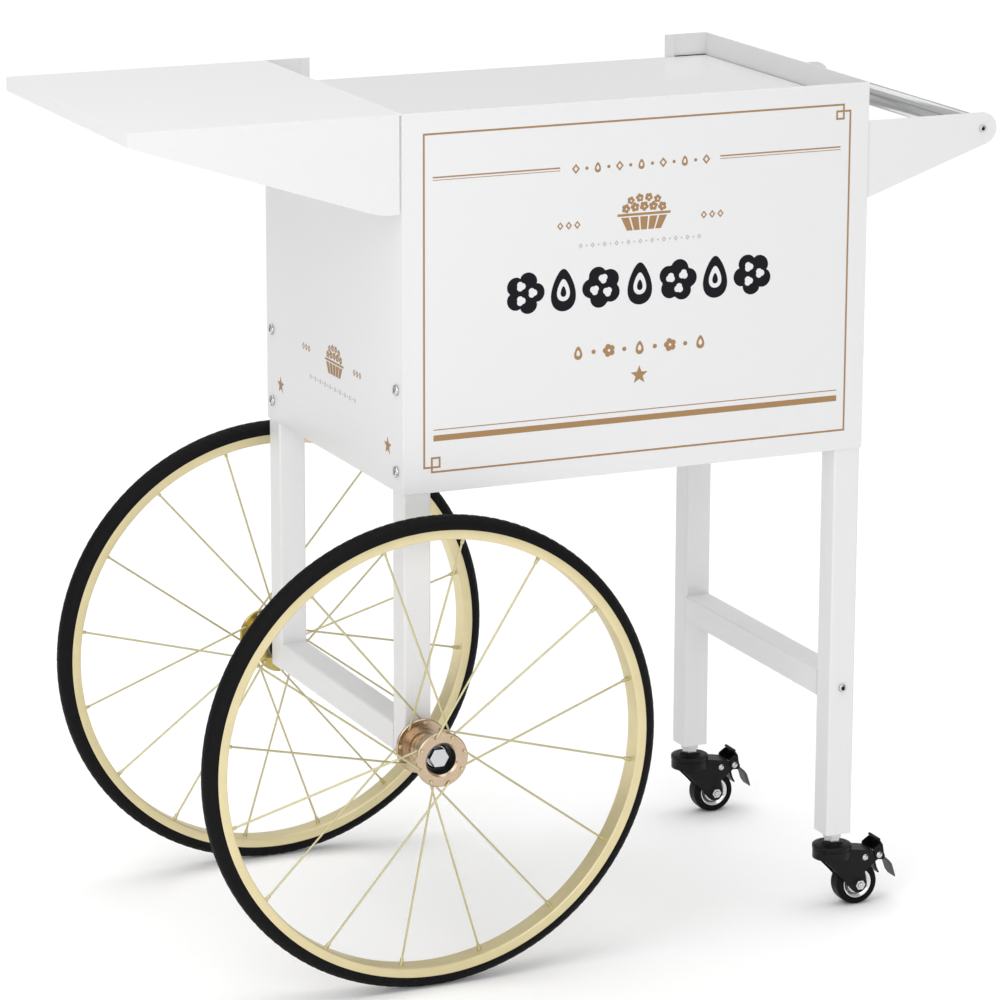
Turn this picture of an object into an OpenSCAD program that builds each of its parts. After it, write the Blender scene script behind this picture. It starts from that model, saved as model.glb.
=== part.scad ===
// Two-wheeled popcorn cart: sheet-metal cabinet with a recessed worktop and a
// wedge-shaped side shelf, four square-tube legs, two spoked wheels on fixed
// axle bolts, two swivel casters with brake pedals, and a push handle.
// Millimetres. +Z up, +X towards the push handle, -Y is the decorated front.
// Origin: centre of the overall footprint, on the floor.

/* [Cabinet] */
// Width of the cabinet, left panel to right panel
cab_w = 525; // [500:1:560]
// Depth of the cabinet, front panel to open back
cab_d = 380; // [360:1:420]
// Height of the cabinet's bottom edge above the floor
cab_z0 = 513.5; // [500:0.5:530]
// Height of the top rim above the floor
top_z = 903; // [880:1:940]
// Sheet-metal thickness
sheet = 1.2; // [1:0.1:1.5]
// Depth of the recess between the top rim and the worktop
recess = 24.5; // [15:0.5:35]
// Width of the returns that the side panels make at the open back
back_return = 51; // [40:1:60]
// Width of the flat hem folded onto the inside of each back return
hem = 11; // [8:1:20]

/* [Side shelf] */
// How far the shelf stands out from the cabinet
shelf_l = 287; // [250:1:320]
// Height of the lip at the shelf's outer end
shelf_lip = 14.5; // [12:0.5:20]
// Height of the shelf's wedge-shaped skirts at the cabinet
shelf_drop = 101; // [90:1:110]

/* [Legs] */
// Outside width of the square leg tube
leg_w = 30; // [28:0.5:32]
// Wall of the leg tube
leg_t = 1.5; // [1.2:0.1:2]
// Height of the top end of the legs, inside the cabinet
leg_top = 655; // [640:1:680]
// Height of the lower row of leg bolts
bolt_low = 535; // [530:0.5:540]
// Height of the upper row of leg bolts, front legs
bolt_front = 619.7; // [600:0.1:630]
// Height of the upper row of leg bolts, rear legs
bolt_rear = 613.5; // [600:0.1:630]

/* [Spoked wheels] */
// Outside diameter of the tyre
wheel_d = 500; // [490:1:510]
// Distance of each wheel's middle plane from the cart's middle plane
wheel_y = 226; // [224:0.5:232]
// Angle of the first spoke at the rim, from +X towards +Z
spoke_a0 = 13.6; // [0:0.1:22.5]
// Spoke diameter
spoke_d = 2.2; // [1.8:0.1:2.4]

/* [Casters] */
// Outside diameter of the caster wheel
cast_d = 48; // [46:0.5:48]
// Distance of the caster axle behind its swivel axis
trail = 27.5; // [26:0.5:29]
// Height of the right legs' lower ends
leg_foot = 85; // [85:0.5:88]

/* [Handle] */
// Distance of the handle tube's axis from the right panel
handle_x = 136; // [120:1:150]
// Height of the handle tube's axis
handle_z = 845; // [830:1:850]
// Outside diameter of the handle tube
handle_d = 24; // [20:0.5:26]
// Radius of the brackets' rounded ends
nose_r = 17; // [15:0.5:18]

/* [Hidden] */
$fn = 64;
overall = shelf_l + cab_w + handle_x + nose_r;
cab_l = -overall / 2 + shelf_l;
cab_r = cab_l + cab_w;
cab_h = top_z - cab_z0;
yf = -cab_d / 2;
yb = cab_d / 2;
work_z = top_z - recess;
gap = 0.5;
tray_d = cab_d - 3 * sheet - 2 * gap;
leg_off = sheet + leg_w / 2;
leg_y = cab_d / 2 - leg_off;
leg_xl = cab_l + leg_off;
leg_xr = cab_r - leg_off;
wheel_r = wheel_d / 2;
bar_y = leg_y - leg_w / 2;
wheel_x = leg_xl;
shelf_end = cab_l - shelf_l;
nose_x = cab_r + handle_x;
bracket_t = 2.5;
bracket_y = cab_d / 2 - sheet;
cast_r = cast_d / 2;
piv = [50.8, 54.8];
riv = [34.7, 53.6];

WHITE = [0.94, 0.94, 0.95];
GOLD = [0.86, 0.78, 0.55];
COPPER = [0.80, 0.55, 0.40];
STEEL = [0.75, 0.76, 0.78];
BLACK = [0.08, 0.08, 0.09];

// ---------- helpers ----------

// Square with rounded corners, centred.
module soft_square(w, r) {
    square([w - 2 * r, w], center = true);
    square([w, w - 2 * r], center = true);
    for (sx = [-1, 1], sy = [-1, 1])
        translate([sx * (w / 2 - r), sy * (w / 2 - r)]) circle(r);
}

// Length of square tube standing on z = 0.
module tube(len) {
    linear_extrude(len) difference() {
        soft_square(leg_w, 2.5);
        soft_square(leg_w - 2 * leg_t, 1.2);
    }
}

// Flat outline given in X and Z, with its thickness along +Y from y0.
module plate_xz(y0, t) {
    translate([0, y0 + t, 0]) rotate([90, 0, 0]) linear_extrude(t) children();
}

// Cylinder along +Y from y0.
module rod_y(x, y0, z, r, len) {
    translate([x, y0, z]) rotate([-90, 0, 0]) cylinder(r = r, h = len);
}

// Cylinder along +X from x0.
module rod_x(x0, y, z, r, len) {
    translate([x0, y, z]) rotate([0, 90, 0]) cylinder(r = r, h = len);
}

// Domed screw head standing on z = 0.
module dome(r, h) {
    big = (r * r + h * h) / (2 * h);
    intersection() {
        translate([0, 0, h - big]) sphere(big);
        cylinder(r = r, h = h);
    }
}

// Hexagonal prism of a given width across its flats, on z = 0.
module hex(flats, h) {
    cylinder(r = flats / 2 / cos(30), h = h, $fn = 6);
}

// Nut ring on z = 0.
module nut(flats, h, hole) {
    difference() {
        hex(flats, h);
        translate([0, 0, -1]) cylinder(r = hole, h = h + 2);
    }
}

// Domed bolt on z = 0 with its shank going down, and its nut.
module bolt_and_nut(head_r, head_h, shank_r, grip, flats) {
    dome(head_r, head_h);
    translate([0, 0, -grip - 6]) cylinder(r = shank_r, h = grip + 6);
    translate([0, 0, -grip - 5]) nut(flats, 5, shank_r + 0.05);
}

// Puts a wheel part modelled about +Z on the axle, +Z pointing outwards.
module on_axle(front) {
    if (front) translate([wheel_x, -wheel_y, wheel_r]) rotate([90, 0, 0]) children();
    else mirror([0, 1, 0]) translate([wheel_x, -wheel_y, wheel_r])
        rotate([90, 0, 0]) children();
}

// Puts a caster part on its swivel axis.
module on_caster(front) {
    translate([leg_xr, front ? -leg_y : leg_y, 0]) children();
}

// ---------- cabinet ----------

module front_panel() color(WHITE) difference() {
    union() {
        translate([cab_l, yf, cab_z0]) cube([cab_w, sheet, cab_h]);
        translate([cab_l + 40, yf, cab_z0]) cube([cab_w - 80, 18, sheet]);
        translate([cab_l + 2, yf, top_z - 10]) cube([cab_w - 4, 2 * sheet, 10]);
    }
    // the hem is folded double and set back from both corners
    translate([cab_l - 1, yf + sheet, top_z - 12]) cube([3, 5, 14]);
    translate([cab_r - 2, yf + sheet, top_z - 12]) cube([3, 5, 14]);
}

// Side panel with its back return and hem; out is the direction it faces.
module side_panel(x, out) {
    translate([x, 0, 0]) mirror([out > 0 ? 1 : 0, 0, 0]) {
        translate([0, yf + sheet, cab_z0]) cube([sheet, cab_d - sheet, cab_h]);
        translate([0, yb - sheet, cab_z0]) cube([back_return, sheet, cab_h]);
        translate([back_return - hem, yb - 2 * sheet, cab_z0])
            cube([hem, sheet, cab_h]);
    }
}

module leg_bolt_holes(x) {
    for (sy = [-1, 1], z = [bolt_low, sy < 0 ? bolt_front : bolt_rear])
        rod_x(x - 2, sy * leg_y, z, 3.2, 4);
}

module left_panel() color(WHITE) difference() {
    side_panel(cab_l, -1);
    leg_bolt_holes(cab_l);
    for (y = [-150, -50, 50, 150]) rod_x(cab_l - 2, y, 850, 2.7, 6);
}

module right_panel() color(WHITE) difference() {
    side_panel(cab_r, 1);
    leg_bolt_holes(cab_r);
    for (sy = [-1, 1], z = [800, 843]) rod_x(cab_r - 4, sy * 174, z, 3.2, 6);
}

// Tray with its flanges down; it ends in front of the back returns' hems.
module worktop() color(WHITE) difference() {
    translate([cab_l + sheet + gap, yf + sheet + gap, work_z - 20])
        cube([cab_w - 2 * sheet - 2 * gap, tray_d, 20]);
    translate([cab_l + 2 * sheet + gap, yf + 2 * sheet + gap, work_z - 21])
        cube([cab_w - 4 * sheet - 2 * gap, tray_d - 2 * sheet, 21 - sheet]);
}

module floor_panel() color(WHITE) difference() {
    union() {
        translate([cab_l + sheet + gap, yf + sheet + gap, cab_z0 + sheet])
            cube([cab_w - 2 * sheet - 2 * gap, tray_d, sheet]);
        translate([cab_l + back_return + 1, yb - 3 * sheet - gap, cab_z0 + sheet])
            cube([cab_w - 2 * back_return - 2, sheet, 16]);
    }
    // corners cut away around the legs
    for (x = [leg_xl, leg_xr], sy = [-1, 1])
        translate([x - leg_w / 2 - 0.5, sy * leg_y - leg_w / 2 - 0.5, cab_z0])
            cube([leg_w + 1, leg_w + 1, 10]);
}

// ---------- side shelf ----------

module shelf_skirt() {
    polygon([
        [shelf_end, top_z - 0.2],
        [cab_l - 2.5, top_z - 0.2],
        [cab_l - 2.5, top_z - shelf_drop + 0.3],
        [cab_l - 9, top_z - shelf_drop - 0.2],
        [cab_l - 17, top_z - shelf_drop],
        [cab_l - 25, top_z - shelf_drop + 1.1],
        [cab_l - 34, top_z - shelf_drop + 3.6],
        [shelf_end, top_z - shelf_lip]
    ]);
}

module side_shelf() color(WHITE) difference() {
    union() {
        translate([shelf_end, yf + 1, top_z - sheet])
            cube([shelf_l, cab_d - 2, sheet]);
        translate([shelf_end, yf + 1, top_z - shelf_lip])
            cube([sheet, cab_d - 2, shelf_lip]);
        plate_xz(yf + 1, sheet) shelf_skirt();
        plate_xz(yb - 1 - sheet, sheet) shelf_skirt();
        translate([cab_l - sheet, yf + 10, top_z - 70])
            cube([sheet, cab_d - 20, 70]);
    }
    for (y = [-150, -50, 50, 150]) rod_x(cab_l - 6, y, 850, 2.7, 10);
}

module shelf_bolts() color(STEEL)
    for (y = [-150, -50, 50, 150])
        translate([cab_l + sheet, y, 850]) rotate([0, 90, 0])
            bolt_and_nut(4.75, 2.6, 2.5, 2 * sheet, 8);

// ---------- legs ----------

module left_leg(sy, z_up) difference() {
    translate([leg_xl, sy * leg_y, wheel_r - leg_w / 2])
        tube(leg_top - wheel_r + leg_w / 2);
    for (z = [bolt_low, z_up]) rod_x(leg_xl - 20, sy * leg_y, z, 3.2, 40);
    rod_y(leg_xl, sy * leg_y - 20, wheel_r, 6.2, 40);
}

module right_leg(sy, z_up) difference() {
    translate([leg_xr, sy * leg_y, leg_foot]) tube(leg_top - leg_foot);
    for (z = [bolt_low, z_up]) rod_x(leg_xr - 20, sy * leg_y, z, 3.2, 40);
    rod_y(leg_xr, sy * leg_y - 20, wheel_r, 4.2, 40);
}

module leg_front_left() color(WHITE) left_leg(-1, bolt_front);
module leg_rear_left() color(WHITE) left_leg(1, bolt_rear);
module leg_front_right() color(WHITE) right_leg(-1, bolt_front);
module leg_rear_right() color(WHITE) right_leg(1, bolt_rear);

module leg_bolts() color(STEEL)
    for (sy = [-1, 1], z = [bolt_low, sy < 0 ? bolt_front : bolt_rear]) {
        translate([cab_l, sy * leg_y, z]) rotate([0, -90, 0])
            bolt_and_nut(6, 3.5, 3, sheet + leg_w, 10);
        translate([cab_r, sy * leg_y, z]) rotate([0, 90, 0])
            bolt_and_nut(6, 3.5, 3, sheet + leg_w, 10);
    }

// Crossbar between two legs, with a drilled plate welded into each end.
module crossbar(x, hole) difference() {
    union() {
        translate([x, -bar_y, wheel_r]) rotate([-90, 0, 0]) tube(2 * bar_y);
        for (y = [-bar_y + 0.5, bar_y - 4.5])
            translate([x - 14, y, wheel_r - 14]) cube([28, 4, 28]);
    }
    rod_y(x, -bar_y - 5, wheel_r, hole, 2 * bar_y + 10);
}

module crossbar_left() color(WHITE) crossbar(leg_xl, 6.05);
module crossbar_right() color(WHITE) crossbar(leg_xr, 4.05);

module crossbar_bolts() color(STEEL)
    for (a = [90, -90])
        translate([leg_xr, a > 0 ? -leg_y - leg_w / 2 : leg_y + leg_w / 2, wheel_r])
            rotate([a, 0, 0]) {
                dome(4.6, 3);
                translate([0, 0, -leg_w - 9]) cylinder(r = 4, h = leg_w + 9.5);
            }

module leg_plugs() color(BLACK)
    for (sy = [-1, 1])
        translate([leg_xr, sy * leg_y, leg_foot]) difference() {
            linear_extrude(12) soft_square(leg_w - 2 * leg_t - 0.2, 1.2);
            translate([0, 0, -1]) cylinder(r = 6.05, h = 14);
        }

// ---------- push handle ----------

module bracket_outline() {
    translate([nose_x, handle_z]) circle(nose_r);
    reach = sqrt(pow(handle_x, 2) + pow(handle_z - 780.7, 2));
    slope = atan2(handle_z - 780.7, handle_x) - asin(nose_r / reach);
    polygon([
        [cab_r, handle_z + nose_r],
        [nose_x, handle_z + nose_r],
        [nose_x, handle_z],
        [nose_x + nose_r * sin(slope), handle_z - nose_r * cos(slope)],
        [cab_r, 780.7]
    ]);
}

module handle_bracket(sy) difference() {
    union() {
        plate_xz(sy < 0 ? -bracket_y : bracket_y - bracket_t, bracket_t)
            bracket_outline();
        translate([cab_r, sy < 0 ? -bracket_y : bracket_y - 27, 784])
            cube([bracket_t, 27, handle_z + nose_r - 786]);
    }
    rod_y(nose_x, sy * bracket_y - 5, handle_z, 2.2, 10);
    for (z = [800, 843]) rod_x(cab_r - 1, sy * 174, z, 3.2, 6);
}

module handle_bracket_front() color(WHITE) handle_bracket(-1);
module handle_bracket_rear() color(WHITE) handle_bracket(1);

module handle_tube() color(STEEL) difference() {
    rod_y(nose_x, -bracket_y + bracket_t, handle_z, handle_d / 2,
        2 * (bracket_y - bracket_t));
    rod_y(nose_x, -bracket_y, handle_z, handle_d / 2 - 1.5, 2 * bracket_y);
}

module handle_plugs() color(BLACK)
    for (y = [-bracket_y + bracket_t, bracket_y - bracket_t - 16])
        difference() {
            rod_y(nose_x, y, handle_z, handle_d / 2 - 1.6, 16);
            rod_y(nose_x, y - 1, handle_z, 2.05, 18);
        }

module handle_bolts() color(STEEL)
    for (a = [90, -90])
        translate([nose_x, a > 0 ? -bracket_y : bracket_y, handle_z])
            rotate([a, 0, 0]) {
                dome(3.9, 2.4);
                translate([0, 0, -15]) cylinder(r = 2, h = 15.5);
            }

module bracket_bolts() color(STEEL)
    for (sy = [-1, 1], z = [800, 843])
        translate([cab_r + bracket_t, sy * 174, z]) rotate([0, 90, 0])
            bolt_and_nut(5, 2.8, 3, bracket_t + sheet, 10);

// ---------- spoked wheels ----------

module tyre() color(BLACK) rotate_extrude() {
    translate([wheel_r - 21, -10.8]) square([9, 21.6]);
    difference() {
        translate([wheel_r - 12.2, 0]) circle(12.2);
        translate([wheel_r - 30, -15]) square([17.6, 30]);
    }
}

module rim() color(GOLD) difference() {
    rotate_extrude() polygon([
        [wheel_r - 23.5, -11.2],
        [wheel_r - 22.5, -12.2],
        [wheel_r - 12.7, -12.2],
        [wheel_r - 12.7, -10.8],
        [wheel_r - 21.3, -10.8],
        [wheel_r - 21.3, 10.8],
        [wheel_r - 12.7, 10.8],
        [wheel_r - 12.7, 12.2],
        [wheel_r - 22.5, 12.2],
        [wheel_r - 23.5, 11.2]
    ]);
    for (k = [0 : 15]) along_spoke(k, -8) cylinder(r = 2.35, h = 12);
}

// Spoke geometry: even spokes come from the outer flange, odd from the inner.
// Within a flange they lean forwards and backwards by turns.
function hole_w(k) = k % 2 == 0 ? 24.45 : -26.25;
function lean(k) = floor(k / 2) % 2 == 0 ? -1 : 1;
function rim_a(k) = spoke_a0 + 22.5 * k;
function hub_a(k) = rim_a(k) + 45 * lean(k) + 3;
function side_w(k) = hole_w(k) + 3.5 * lean(k);
function foot(k) = [25 * cos(hub_a(k)), 25 * sin(hub_a(k)), side_w(k)];
function tip(k) = [(wheel_r - 22) * cos(rim_a(k)), (wheel_r - 22) * sin(rim_a(k)), 0];
function run(k) = norm(tip(k) - foot(k));

// Stands at a spoke's rim end, +Z along the spoke, moved by s along it.
module along_spoke(k, s) {
    d = tip(k) - foot(k);
    translate(tip(k)) rotate([0, acos(d[2] / run(k)), atan2(d[1], d[0])])
        translate([0, 0, s]) children();
}

module spokes() color(GOLD)
    for (k = [0 : 15]) {
        along_spoke(k, -run(k)) cylinder(r = spoke_d / 2, h = run(k) - 2);
        // elbow through the flange, and its head on the far face
        a = hub_a(k);
        translate([25 * cos(a), 25 * sin(a), hole_w(k)]) {
            translate([0, 0, lean(k) > 0 ? -3.3 : -3.5])
                cylinder(r = spoke_d / 2, h = 6.8);
            translate([0, 0, lean(k) > 0 ? -3.3 : 1.85])
                cylinder(r = 2.1, h = 1.45);
            translate([0, 0, 3.5 * lean(k)]) sphere(spoke_d / 2 + 0.15);
        }
    }

module nipples() color(GOLD)
    for (k = [0 : 15]) along_spoke(k, -8) difference() {
        cylinder(r = 2.3, h = 8.2);
        translate([0, 0, -1]) cylinder(r = spoke_d / 2 + 0.05, h = 8);
    }

module hub() color(COPPER) difference() {
    rotate_extrude() polygon([
        [16, 24], [18.2, 26.2], [27.8, 26.2], [28.8, 25.2], [28.8, 23.7],
        [27.8, 22.7], [19.5, 22.7], [19.5, -1.5], [18, -3], [15, -3.5],
        [15, -14], [16.5, -14.5], [16.5, -16.5], [19.5, -17], [19.5, -24.5],
        [27.8, -24.5], [28.8, -25.5], [28.8, -27], [27.8, -28], [16, -28],
        [16, -18], [9.5, -18], [9.5, -1], [16, -1]
    ]);
    for (k = [0 : 15])
        translate([25 * cos(hub_a(k)), 25 * sin(hub_a(k)), hole_w(k) - 4])
            cylinder(r = spoke_d / 2 + 0.3, h = 8);
}

module bearings() color(BLACK)
    for (w = [-1, -28]) translate([0, 0, w]) difference() {
        cylinder(r = 16, h = 10);
        translate([0, 0, -1]) cylinder(r = 6, h = 12);
    }

module axle() color(STEEL) {
    translate([0, 0, 11.5]) hex(18.6, 8);
    translate([0, 0, -wheel_y + 150]) cylinder(r = 5.95, h = wheel_y - 150 + 12);
}

// Washer under the head, sleeve between the bearings, stand-off at the leg.
module axle_spacers() color(STEEL)
    for (s = [[9.3, 2.2, 11.5], [-17.7, 16.4, 8.5],
            [bracket_y - wheel_y, wheel_y - bracket_y - 28.3, 10]])
        translate([0, 0, s[0]]) difference() {
            cylinder(r = s[2], h = s[1]);
            translate([0, 0, -1]) cylinder(r = 6, h = s[1] + 2);
        }

// ---------- casters ----------

module cast_stem() color(STEEL) {
    translate([0, 0, 79.5]) hex(19, 5.5);
    translate([0, 0, 74]) hex(16, 5.5);
    translate([0, 0, 56.9]) cylinder(r = 5.98, h = 56);
    translate([0, 0, 56.9]) cylinder(r = 9, h = 3);
}

module cast_cap() color(BLACK) rotate_extrude() polygon([
    [6.02, 65.3], [20.9, 65.3], [21.5, 65.9], [21.5, 69.6], [20.6, 70.6],
    [18.4, 71.3], [15, 72.1], [13.4, 71.4], [12, 72.6], [11, 74], [6.02, 74]
]);

module fork_side() difference() {
    union() {
        polygon([
            [-15, 65], [-15, 55.6], [-6, 46.4], [4.1, 36.2], [8.7, 30.6],
            [15.9, 22], [20.5, 17.2], [35.6, 18.6], [36.8, 24], [34.6, 37],
            [37, 40.1], [41, 42.3], [46, 46.6], [52, 51], [54.2, 55], [52, 57.6],
            [48.5, 58.3], [44, 60.2], [37, 61.6], [17, 65]
        ]);
        translate([trail, cast_r]) circle(9.7);
        translate(piv) circle(3.6);
    }
    translate([trail, cast_r]) circle(3.05);
    translate(piv) circle(2.05);
    translate(riv) circle(2.05);
}

// Round head with a skirt round the lower race, a sloping top and two cheeks.
module cast_fork() color(BLACK) {
    difference() {
        union() {
            translate([0, 0, 55.6]) cylinder(r = 21, h = 9.4);
            plate_xz(-13.2, 26.4) polygon([
                [12, 65], [17, 65], [37, 61.6], [44, 60.2], [44, 58.2],
                [37, 59.4], [17, 62.6], [12, 62.6]
            ]);
        }
        translate([0, 0, 54]) cylinder(r = 18, h = 6.8);
        translate([0, 0, 50]) cylinder(r = 6.05, h = 20);
    }
    plate_xz(-13.2, 2) fork_side();
    plate_xz(11.2, 2) fork_side();
}

module cast_axle() color(STEEL) {
    rod_y(trail, -18.4, cast_r, 3, 33.9);
    translate([trail, 13.2, cast_r]) rotate([-90, 0, 0]) hex(10, 4);
    translate([trail, -13.2, cast_r]) rotate([90, 0, 0]) nut(10, 4, 3.05);
}

module cast_rivets() color(STEEL) {
    for (r = [[riv[0], riv[1], 13.2], [piv[0], piv[1], 15.2]]) {
        rod_y(r[0], -r[2] - 0.5, r[1], 2, 2 * r[2] + 1);
        for (a = [90, -90])
            translate([r[0], a > 0 ? -r[2] : r[2], r[1]]) rotate([a, 0, 0])
                dome(3.7, 1.8);
    }
}

module cast_shoe() color(BLACK) plate_xz(-6, 12) difference() {
    union() {
        translate(riv) circle(4.6);
        polygon([
            [riv[0], riv[1] + 4.6], [41.5, 57.2], [46.6, 52.4], [51, 45], [52.8, 38],
            [56, 31.5], [54.4, 31.2], [50.8, 37], [48.8, 42.6], [44.6, 46.8],
            [40, 49], [riv[0], riv[1] - 4.6]
        ]);
    }
    translate(riv) circle(2.05);
}

module cast_core() color(STEEL) translate([trail, 0, cast_r])
    rotate([90, 0, 0]) rotate_extrude() polygon([
        [3.06, -10.9], [6.5, -10.9], [10.5, -6.5], [15.7, -9.2], [16.9, -9.2],
        [16.9, 9.2], [15.7, 9.2], [10.5, 6.5], [6.5, 10.9], [3.06, 10.9]
    ]);

module cast_tyre() color(BLACK) translate([trail, 0, cast_r])
    rotate([90, 0, 0]) rotate_extrude() polygon([
        [16.95, -9.3], [18.9, -10], [cast_r - 2.2, -9.8], [cast_r - 0.9, -8.6],
        [cast_r - 0.2, -6.8], [cast_r, -5], [cast_r, 5], [cast_r - 0.2, 6.8],
        [cast_r - 0.9, 8.6], [cast_r - 2.2, 9.8], [18.9, 10], [16.95, 9.3]
    ]);

module cheek() difference() {
    polygon([
        [45.2, 62.4], [53, 67.6], [54.4, 67.2], [54.9, 65], [56, 58], [57.6, 53.4],
        [57, 50.2], [54.5, 49.4], [48.5, 50.2], [46, 54], [44.8, 59.6]
    ]);
    translate(piv) circle(2.05);
}

// Two cheeks joined by a bent tread, whose top narrows to a rolled lip.
module cast_pedal() color(BLACK) {
    plate_xz(-15.2, 1.6) cheek();
    plate_xz(13.6, 1.6) cheek();
    intersection() {
        plate_xz(-15.2, 30.4) polygon([
            [52.6, 71.2], [54.2, 68.3], [54.9, 65], [56, 58], [57.6, 53.4],
            [57, 50.2], [55.7, 50.2], [56, 53.3], [54.6, 57.8], [53.5, 64.8],
            [52.8, 67.9], [51.4, 70.5]
        ]);
        translate([40, 0, 0]) rotate([90, 0, 90]) linear_extrude(25) polygon([
            [-15.2, 49], [15.2, 49], [15.2, 65.5], [12.6, 68.5], [11, 72],
            [-11, 72], [-12.6, 68.5], [-15.2, 65.5]
        ]);
    }
    rod_y(52.2, -11, 71, 1.6, 22);
}

module cast_pad() color(BLACK) plate_xz(-8, 16) polygon([
    [57.6, 53.4], [61.7, 49.1], [67.2, 44.1], [70.6, 39.8], [73.8, 30.2],
    [75.3, 24.8], [74.2, 24.4], [70.1, 30.2], [67.9, 36.7], [66.5, 40.7],
    [63.6, 43.4], [60, 46.8], [57, 50.2]
]);

// ---------- nodes ----------

front_panel();
left_panel();
right_panel();
worktop();
floor_panel();
side_shelf();
shelf_bolts();
leg_front_left();
leg_rear_left();
leg_front_right();
leg_rear_right();
leg_bolts();
crossbar_left();
crossbar_right();
crossbar_bolts();
leg_plugs();
handle_bracket_front();
handle_bracket_rear();
handle_tube();
handle_plugs();
handle_bolts();
bracket_bolts();
on_axle(true) axle();  // axle_front
on_axle(false) axle();  // axle_rear
on_axle(true) axle_spacers();  // axle_spacers_front
on_axle(false) axle_spacers();  // axle_spacers_rear
on_axle(true) tyre();  // tyre_front
on_axle(true) rim();  // rim_front
on_axle(true) spokes();  // spokes_front
on_axle(true) nipples();  // nipples_front
on_axle(true) hub();  // hub_front
on_axle(true) bearings();  // bearings_front
on_axle(false) tyre();  // tyre_rear
on_axle(false) rim();  // rim_rear
on_axle(false) spokes();  // spokes_rear
on_axle(false) nipples();  // nipples_rear
on_axle(false) hub();  // hub_rear
on_axle(false) bearings();  // bearings_rear
on_caster(true) cast_stem();  // caster_front_stem
on_caster(true) cast_cap();  // caster_front_cap
on_caster(true) cast_fork();  // caster_front_fork
on_caster(true) cast_axle();  // caster_front_axle
on_caster(true) cast_rivets();  // caster_front_rivets
on_caster(true) cast_shoe();  // caster_front_shoe
on_caster(true) cast_core();  // caster_front_core
on_caster(true) cast_tyre();  // caster_front_tyre
on_caster(true) cast_pedal();  // caster_front_pedal
on_caster(true) cast_pad();  // caster_front_pad
on_caster(false) cast_stem();  // caster_rear_stem
on_caster(false) cast_cap();  // caster_rear_cap
on_caster(false) cast_fork();  // caster_rear_fork
on_caster(false) cast_axle();  // caster_rear_axle
on_caster(false) cast_rivets();  // caster_rear_rivets
on_caster(false) cast_shoe();  // caster_rear_shoe
on_caster(false) cast_core();  // caster_rear_core
on_caster(false) cast_tyre();  // caster_rear_tyre
on_caster(false) cast_pedal();  // caster_rear_pedal
on_caster(false) cast_pad();  // caster_rear_pad
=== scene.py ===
"""Looks of the popcorn cart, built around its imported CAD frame."""
import math

import bmesh
import bpy
from mathutils import Matrix, Vector


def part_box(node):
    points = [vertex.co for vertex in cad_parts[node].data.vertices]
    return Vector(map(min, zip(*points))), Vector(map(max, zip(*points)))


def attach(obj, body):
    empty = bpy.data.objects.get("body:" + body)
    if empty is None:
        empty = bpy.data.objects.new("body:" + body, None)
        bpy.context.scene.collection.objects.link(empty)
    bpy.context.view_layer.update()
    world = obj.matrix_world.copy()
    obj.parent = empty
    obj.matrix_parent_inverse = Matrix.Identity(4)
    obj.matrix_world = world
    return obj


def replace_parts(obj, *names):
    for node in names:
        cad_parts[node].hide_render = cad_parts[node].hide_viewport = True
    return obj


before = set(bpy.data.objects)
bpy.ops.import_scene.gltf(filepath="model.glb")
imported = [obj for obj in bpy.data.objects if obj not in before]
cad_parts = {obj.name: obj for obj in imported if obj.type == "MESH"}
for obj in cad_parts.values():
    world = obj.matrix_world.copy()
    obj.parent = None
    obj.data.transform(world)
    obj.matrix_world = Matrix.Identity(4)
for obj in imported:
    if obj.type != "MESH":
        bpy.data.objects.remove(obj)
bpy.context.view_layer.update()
scene = bpy.context.scene
MM = 0.001
PI = math.pi


# ------------------------------------------------------------------ materials

COAT_ROUGHNESS = 0.12
BUMP_DISTANCE = 0.0002
BROAD_GRAIN = 14.0


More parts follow.
